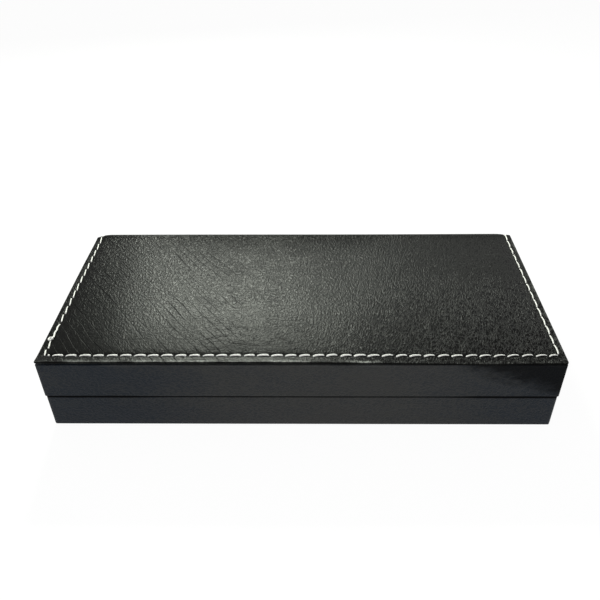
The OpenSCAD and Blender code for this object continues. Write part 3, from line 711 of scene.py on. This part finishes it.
# A stitch's shape: how far along each knot lies, how far across, how high, and how thick the thread is
# there, as shares of half the stitch's length, of its row's reach, of its rise and of the thread's radius
LEVEL_STITCH = [(-1.0, -0.9, -0.3, 0.5), (-0.82, -0.5, 0.5, 0.7), (-0.2, 0.2, 1.0, 1.0),
                (0.5, 0.3, 1.0, 1.15), (0.9, 0.1, 0.6, 1.15), (1.02, -0.1, -0.3, 0.9)]
ARCHED_STITCH = [(-1.04, -1.15, -0.3, 0.95), (-0.9, -0.95, 0.45, 1.2), (-0.45, -0.05, 1.0, 1.15),
                 (0.1, 0.6, 1.0, 1.0), (0.85, 0.75, 0.5, 0.8), (1.0, 0.7, -0.3, 0.6)]
LEANING_STITCH = [(-1.04, 0.95, -0.3, 0.95), (-0.88, 0.95, 0.5, 1.25), (-0.3, 0.45, 1.0, 1.1),
                  (0.4, -0.45, 0.95, 1.0), (0.9, -0.95, 0.4, 0.85), (1.03, -1.0, -0.3, 0.65)]
WAVY_STITCH = [(-1.02, -0.2, -0.3, 0.95), (-0.88, 0.0, 0.5, 1.15), (-0.3, 0.9, 1.0, 1.15),
               (0.35, 0.6, 1.0, 1.1), (0.9, -0.6, 0.5, 1.0), (1.02, -0.7, -0.3, 0.75)]

# The loose thread of the left row: a curl, then a wavy end. Each point has x, y and its height over the
# leather in millimetres, and its share of the thread's radius
LOOSE_THREAD = [(-87.35, -28.6, -0.2, 0.7), (-87.55, -28.1, 0.2, 0.85), (-88.1, -27.95, 0.3, 0.95),
                (-88.62, -28.4, 0.32, 1.0), (-88.6, -29.1, 0.36, 1.0), (-88.1, -29.5, 0.42, 1.0),
                (-87.5, -29.25, 0.58, 1.0), (-87.12, -28.5, 0.6, 1.0), (-87.2, -27.1, 0.35, 1.0),
                (-87.62, -25.5, 0.2, 1.05), (-87.36, -23.9, 0.2, 1.1), (-87.58, -22.5, 0.2, 1.05),
                (-87.4, -20.9, 0.15, 0.95), (-87.36, -20.2, -0.2, 0.7)]


def stitch_path(name, start, end, chance):
    """One stitch's points as u, v, height and thickness."""
    place = SEWING[name][0] + chance.uniform(-0.06, 0.06) * MM
    half = (end - start) / 2 + chance.uniform(-0.1, 0.1) * MM
    middle = (start + end) / 2 + chance.uniform(-0.1, 0.1) * MM
    rise = chance.uniform(0.16, 0.24) * MM
    arched = eased(middle, -30 * MM, 20 * MM)
    reach = {"front": 0.2 + 0.11 * arched, "flap": 0.2, "left": 0.26, "right": 0.12}[name] * MM
    reach *= chance.uniform(0.85, 1.15) * min(1.0, half / (1.5 * MM))
    if name in ("front", "flap"):
        fullness = (0.97 + 0.08 * eased(middle, -70 * MM, -30 * MM) - 0.14 * eased(middle, 5 * MM, 35 * MM)
                    - 0.22 * eased(middle, 35 * MM, 75 * MM))
    else:
        fullness = 0.81 - 0.1 * eased(middle, 5 * MM, 50 * MM)
    if name == "left":
        shape = LEANING_STITCH
    elif name == "right":
        shape = WAVY_STITCH
    else:
        shape = [tuple(a + (b - a) * arched for a, b in zip(level, arch))
                 for level, arch in zip(LEVEL_STITCH, ARCHED_STITCH)]
    points = []
    for along, across, up, thick in shape:
        s, n = middle + along * half, place + across * reach
        u, v = (s, n) if name in ("front", "flap") else (n, s)
        points.append((u, v, up * rise, thick * fullness))
    return points


def sewn_height(u, v):
    """The height of the leather in the line that a row of stitches pulls in."""
    return bulge(u, v) + sag(u, v) - PRESSED_DEPTH


def threads(name, paths, material):
    """Thread laid along paths on the cover, as one mesh."""
    same_point = 0.001 * MM
    curve = bpy.data.curves.new(name, "CURVE")
    curve.dimensions = "3D"
    curve.bevel_depth = THREAD_R
    curve.bevel_resolution = curve.resolution_u = 2
    curve.use_fill_caps = True
    for points in paths:
        spline = curve.splines.new("BEZIER")
        spline.bezier_points.add(len(points) - 1)
        for knot, (u, v, height, thick) in zip(spline.bezier_points, points):
            knot.co = on_cover(u, v, sewn_height(u, v) + height)
            knot.radius = thick
            knot.handle_left_type = knot.handle_right_type = "AUTO"
    piece = bpy.data.objects.new(name, curve)
    bpy.context.scene.collection.objects.link(piece)
    select_only(piece)
    bpy.ops.object.convert(target="MESH")
    piece = bpy.context.object
    bpy.ops.object.mode_set(mode="EDIT")
    bpy.ops.mesh.select_all(action="SELECT")
    bpy.ops.mesh.remove_doubles(threshold=same_point)
    bpy.ops.mesh.normals_make_consistent(inside=False)
    bpy.ops.object.mode_set(mode="OBJECT")
    smooth(piece, 60)
    place_in_case(piece, material, "thread", "cover_stitching")


def sew_cover(material):
    """Every row's stitches, and the curl of loose thread in the left row."""
    seed = 11
    chance = random.Random(seed)
    for name, (_, stitches) in SEWING.items():
        kept = [pair for i, pair in enumerate(stitches) if name != "left" or i not in LOOSE_STITCHES]
        paths = [stitch_path(name, start, end, chance) for start, end in kept]
        threads(name + "_row_stitches", paths, material)
    loose = [(x * MM, y * MM - COVER_LOW.y, height * MM, thick) for x, y, height, thick in LOOSE_THREAD]
    threads("loose_thread_curl", [loose], material)


# ---------- the leatherette round the lid and the base ----------

def outer_edge(edge, low, high, z):
    """True for a sharp edge round the outside of a shell at height z."""
    level, corner, sharp = 0.02 * MM, 1.6 * MM, math.radians(60)
    if any(abs(v.co.z - z) > level for v in edge.verts) or edge.calc_face_angle(0) < sharp:
        return False
    return all(min(v.co.x - low.x, high.x - v.co.x, v.co.y - low.y, high.y - v.co.y) < corner
               for v in edge.verts)


def make_wrap(node, name, cap_z, rim_z):
    """A shell's leatherette, rolled softly over its edges and not quite flat where it is glued down."""
    low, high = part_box(node)
    cap_radius, rim_radius = 0.25 * MM, 0.4 * MM
    step, off_step, near_axis = 3 * MM, 0.13 * MM, 3 * MM
    piece = copy_of(node, name)
    bpy.ops.object.mode_set(mode="EDIT")
    for z, radius in ((cap_z, cap_radius), (rim_z, rim_radius)):
        pick(piece, "edges", lambda e: outer_edge(e, low, high, z))
        bpy.ops.mesh.bevel(offset=radius, segments=4, affect="EDGES", clamp_overlap=False)
    bpy.ops.mesh.select_all(action="SELECT")
    bpy.ops.mesh.quads_convert_to_tris()
    for axis in range(3):
        normal = [0, 0, 0]
        normal[axis] = 1
        for i in range(1, int((high[axis] - low[axis]) / step)):
            place = [0, 0, 0]
            place[axis] = low[axis] + i * step + off_step
            bpy.ops.mesh.select_all(action="SELECT")
            bpy.ops.mesh.bisect(plane_co=place, plane_no=normal)
    bpy.ops.object.mode_set(mode="OBJECT")
    away = piece.vertex_groups.new(name="away from the hinges")
    away.add([v.index for v in piece.data.vertices
              if v.co.y < high.y - near_axis or abs(v.co.z - rim_z) > near_axis], 1, "REPLACE")
    clouds = bpy.data.textures.new(name + " unevenness", "CLOUDS")
    clouds.noise_scale = 14 * MM
    finish_with(piece, "DISPLACE", texture=clouds, texture_coords="LOCAL", strength=0.05 * MM,
                mid_level=0.5, vertex_group=away.name)
    smooth(piece, 40)
    finish_with(piece, "WEIGHTED_NORMAL", keep_sharp=True, weight=80)
    overhang_shadow = node == "lid_side_wrap"
    material = side_leatherette(name.replace("_", " "), low, high, cap_z, rim_z, overhang_shadow)
    place_in_case(piece, material, "leatherette", node)


# ---------- lining, tray and pad ----------

def make_pad(material):
    """The lid's pad: satin that wadding fills out, puckered where it is tucked in at its border."""
    low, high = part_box("lid_pad")
    swelling_steps, most_swell, never_nothing = 20, 0.7 * MM, 1e-9
    piece = copy_of("lid_pad", "satin_pad")
    finish_with(piece, "REMESH", mode="VOXEL", voxel_size=2.2 * MM)
    before = [vertex.co.copy() for vertex in piece.data.vertices]
    select_only(piece)
    bpy.ops.object.modifier_add(type="CLOTH")
    cloth = piece.modifiers[-1].settings
    cloth.use_pressure = True
    cloth.uniform_pressure_force = 4
    cloth.effector_weights.gravity = 0
    cloth.tension_stiffness = cloth.compression_stiffness = 40
    cloth.quality = 6
    for frame_number in range(1, swelling_steps + 1):
        bpy.context.scene.frame_set(frame_number)
    bpy.ops.object.modifier_apply(modifier=piece.modifiers[-1].name)
    bpy.context.scene.frame_set(1)
    for vertex, start in zip(piece.data.vertices, before):
        move = vertex.co - start
        vertex.co = start + move * min(1.0, most_swell / max(move.length, never_nothing))
    middle, half = (low + high) / 2, (high - low) / 2
    for vertex in piece.data.vertices:
        x, y = (vertex.co.x - middle.x) / half.x, (vertex.co.y - middle.y) / half.y
        below = eased(high.z - vertex.co.z, 0, high.z - low.z)
        tuck = max(abs(x), abs(y)) ** 6
        pucker = noise.noise(Vector((vertex.co.x / (6 * MM), vertex.co.y / (6 * MM), 0)))
        vertex.co.z += (0.4 * tuck - 0.6 * tuck * pucker) * below * MM
        vertex.co.x = min(max(vertex.co.x, low.x), high.x)
        vertex.co.y = min(max(vertex.co.y, low.y), high.y)
        vertex.co.z = min(vertex.co.z, high.z)
    finish_with(piece, "SUBSURF", levels=1, render_levels=1)
    smooth(piece, 60)
    place_in_case(piece, material, "satin", "lid_pad")


def soften_nodes(velvet, flock, felt, metal):
    """The lining, the tray, the felt and the hinges: a copy of each node with its edges eased."""
    sides = ("front", "back", "left", "right")
    leaves = [f"hinge_{side}_{body}_leaf" for body in ("base", "lid") for side in ("left", "right")]
    softened = (
        (velvet, "lining", 0.35 * MM, ["collar_" + side for side in sides]),
        (velvet, "lining", 0.3 * MM, ["lid_liner_" + side for side in sides]),
        (flock, "flock", 0.45 * MM, ["instrument_tray"]),
        (felt, "felt", 0.12 * MM, ["base_felt"]),
        (metal, "nickel", 0.08 * MM, leaves),
        (metal, "nickel", 0.2 * MM, ["hinge_left_pin", "hinge_right_pin"]),
    )
    for material, slot, radius, nodes in softened:
        for node in nodes:
            piece = copy_of(node, node + "_shown")
            ease_edges(piece, radius)
            place_in_case(piece, material, slot, node)


def dress_other_nodes(flock, felt, card, board, metal):
    """The nodes that show as they are: by a word in each one's name, and the rest is metal."""
    by_word = {"tray_floor_sheet": flock, "underlay": felt, "card": card, "board": board, "wall": board}
    for name, node in frame["nodes"].items():
        if not node.hide_render:
            node.data.materials.clear()
            node.data.materials.append(next((by_word[word] for word in by_word if word in name), metal))


def main():
    aim_camera()
    light_room()
    lay_floor()
    leather, thread = cover_leatherette(), sewing_thread()
    velvet = pile("velvet lining", (0.010, 0.010, 0.013, 1), (0.034, 0.034, 0.041, 1), 0.35 * MM, 0.12 * MM)
    flock = pile("flocked foam", (0.016, 0.016, 0.019, 1), (0.050, 0.050, 0.057, 1), 0.25 * MM, 0.10 * MM)
    felt = pile("thin felt", (0.010, 0.010, 0.011, 1), (0.035, 0.035, 0.037, 1), 0.6 * MM, 0.2 * MM)
    board = pressed_board("greyboard", (0.20, 0.17, 0.13, 1), (0.33, 0.29, 0.23, 1))
    card = pressed_board("grey card", (0.22, 0.22, 0.20, 1), (0.34, 0.33, 0.31, 1))
    metal = nickel_plate()
    make_cover(leather)
    sew_cover(thread)
    make_wrap("lid_side_wrap", "lid_leatherette", LID_HIGH.z, LID_LOW.z)
    make_wrap("base_side_wrap", "base_leatherette", BASE_LOW.z, BASE_HIGH.z)
    make_pad(satin())
    soften_nodes(velvet, flock, felt, metal)
    dress_other_nodes(flock, felt, card, board, metal)


main()
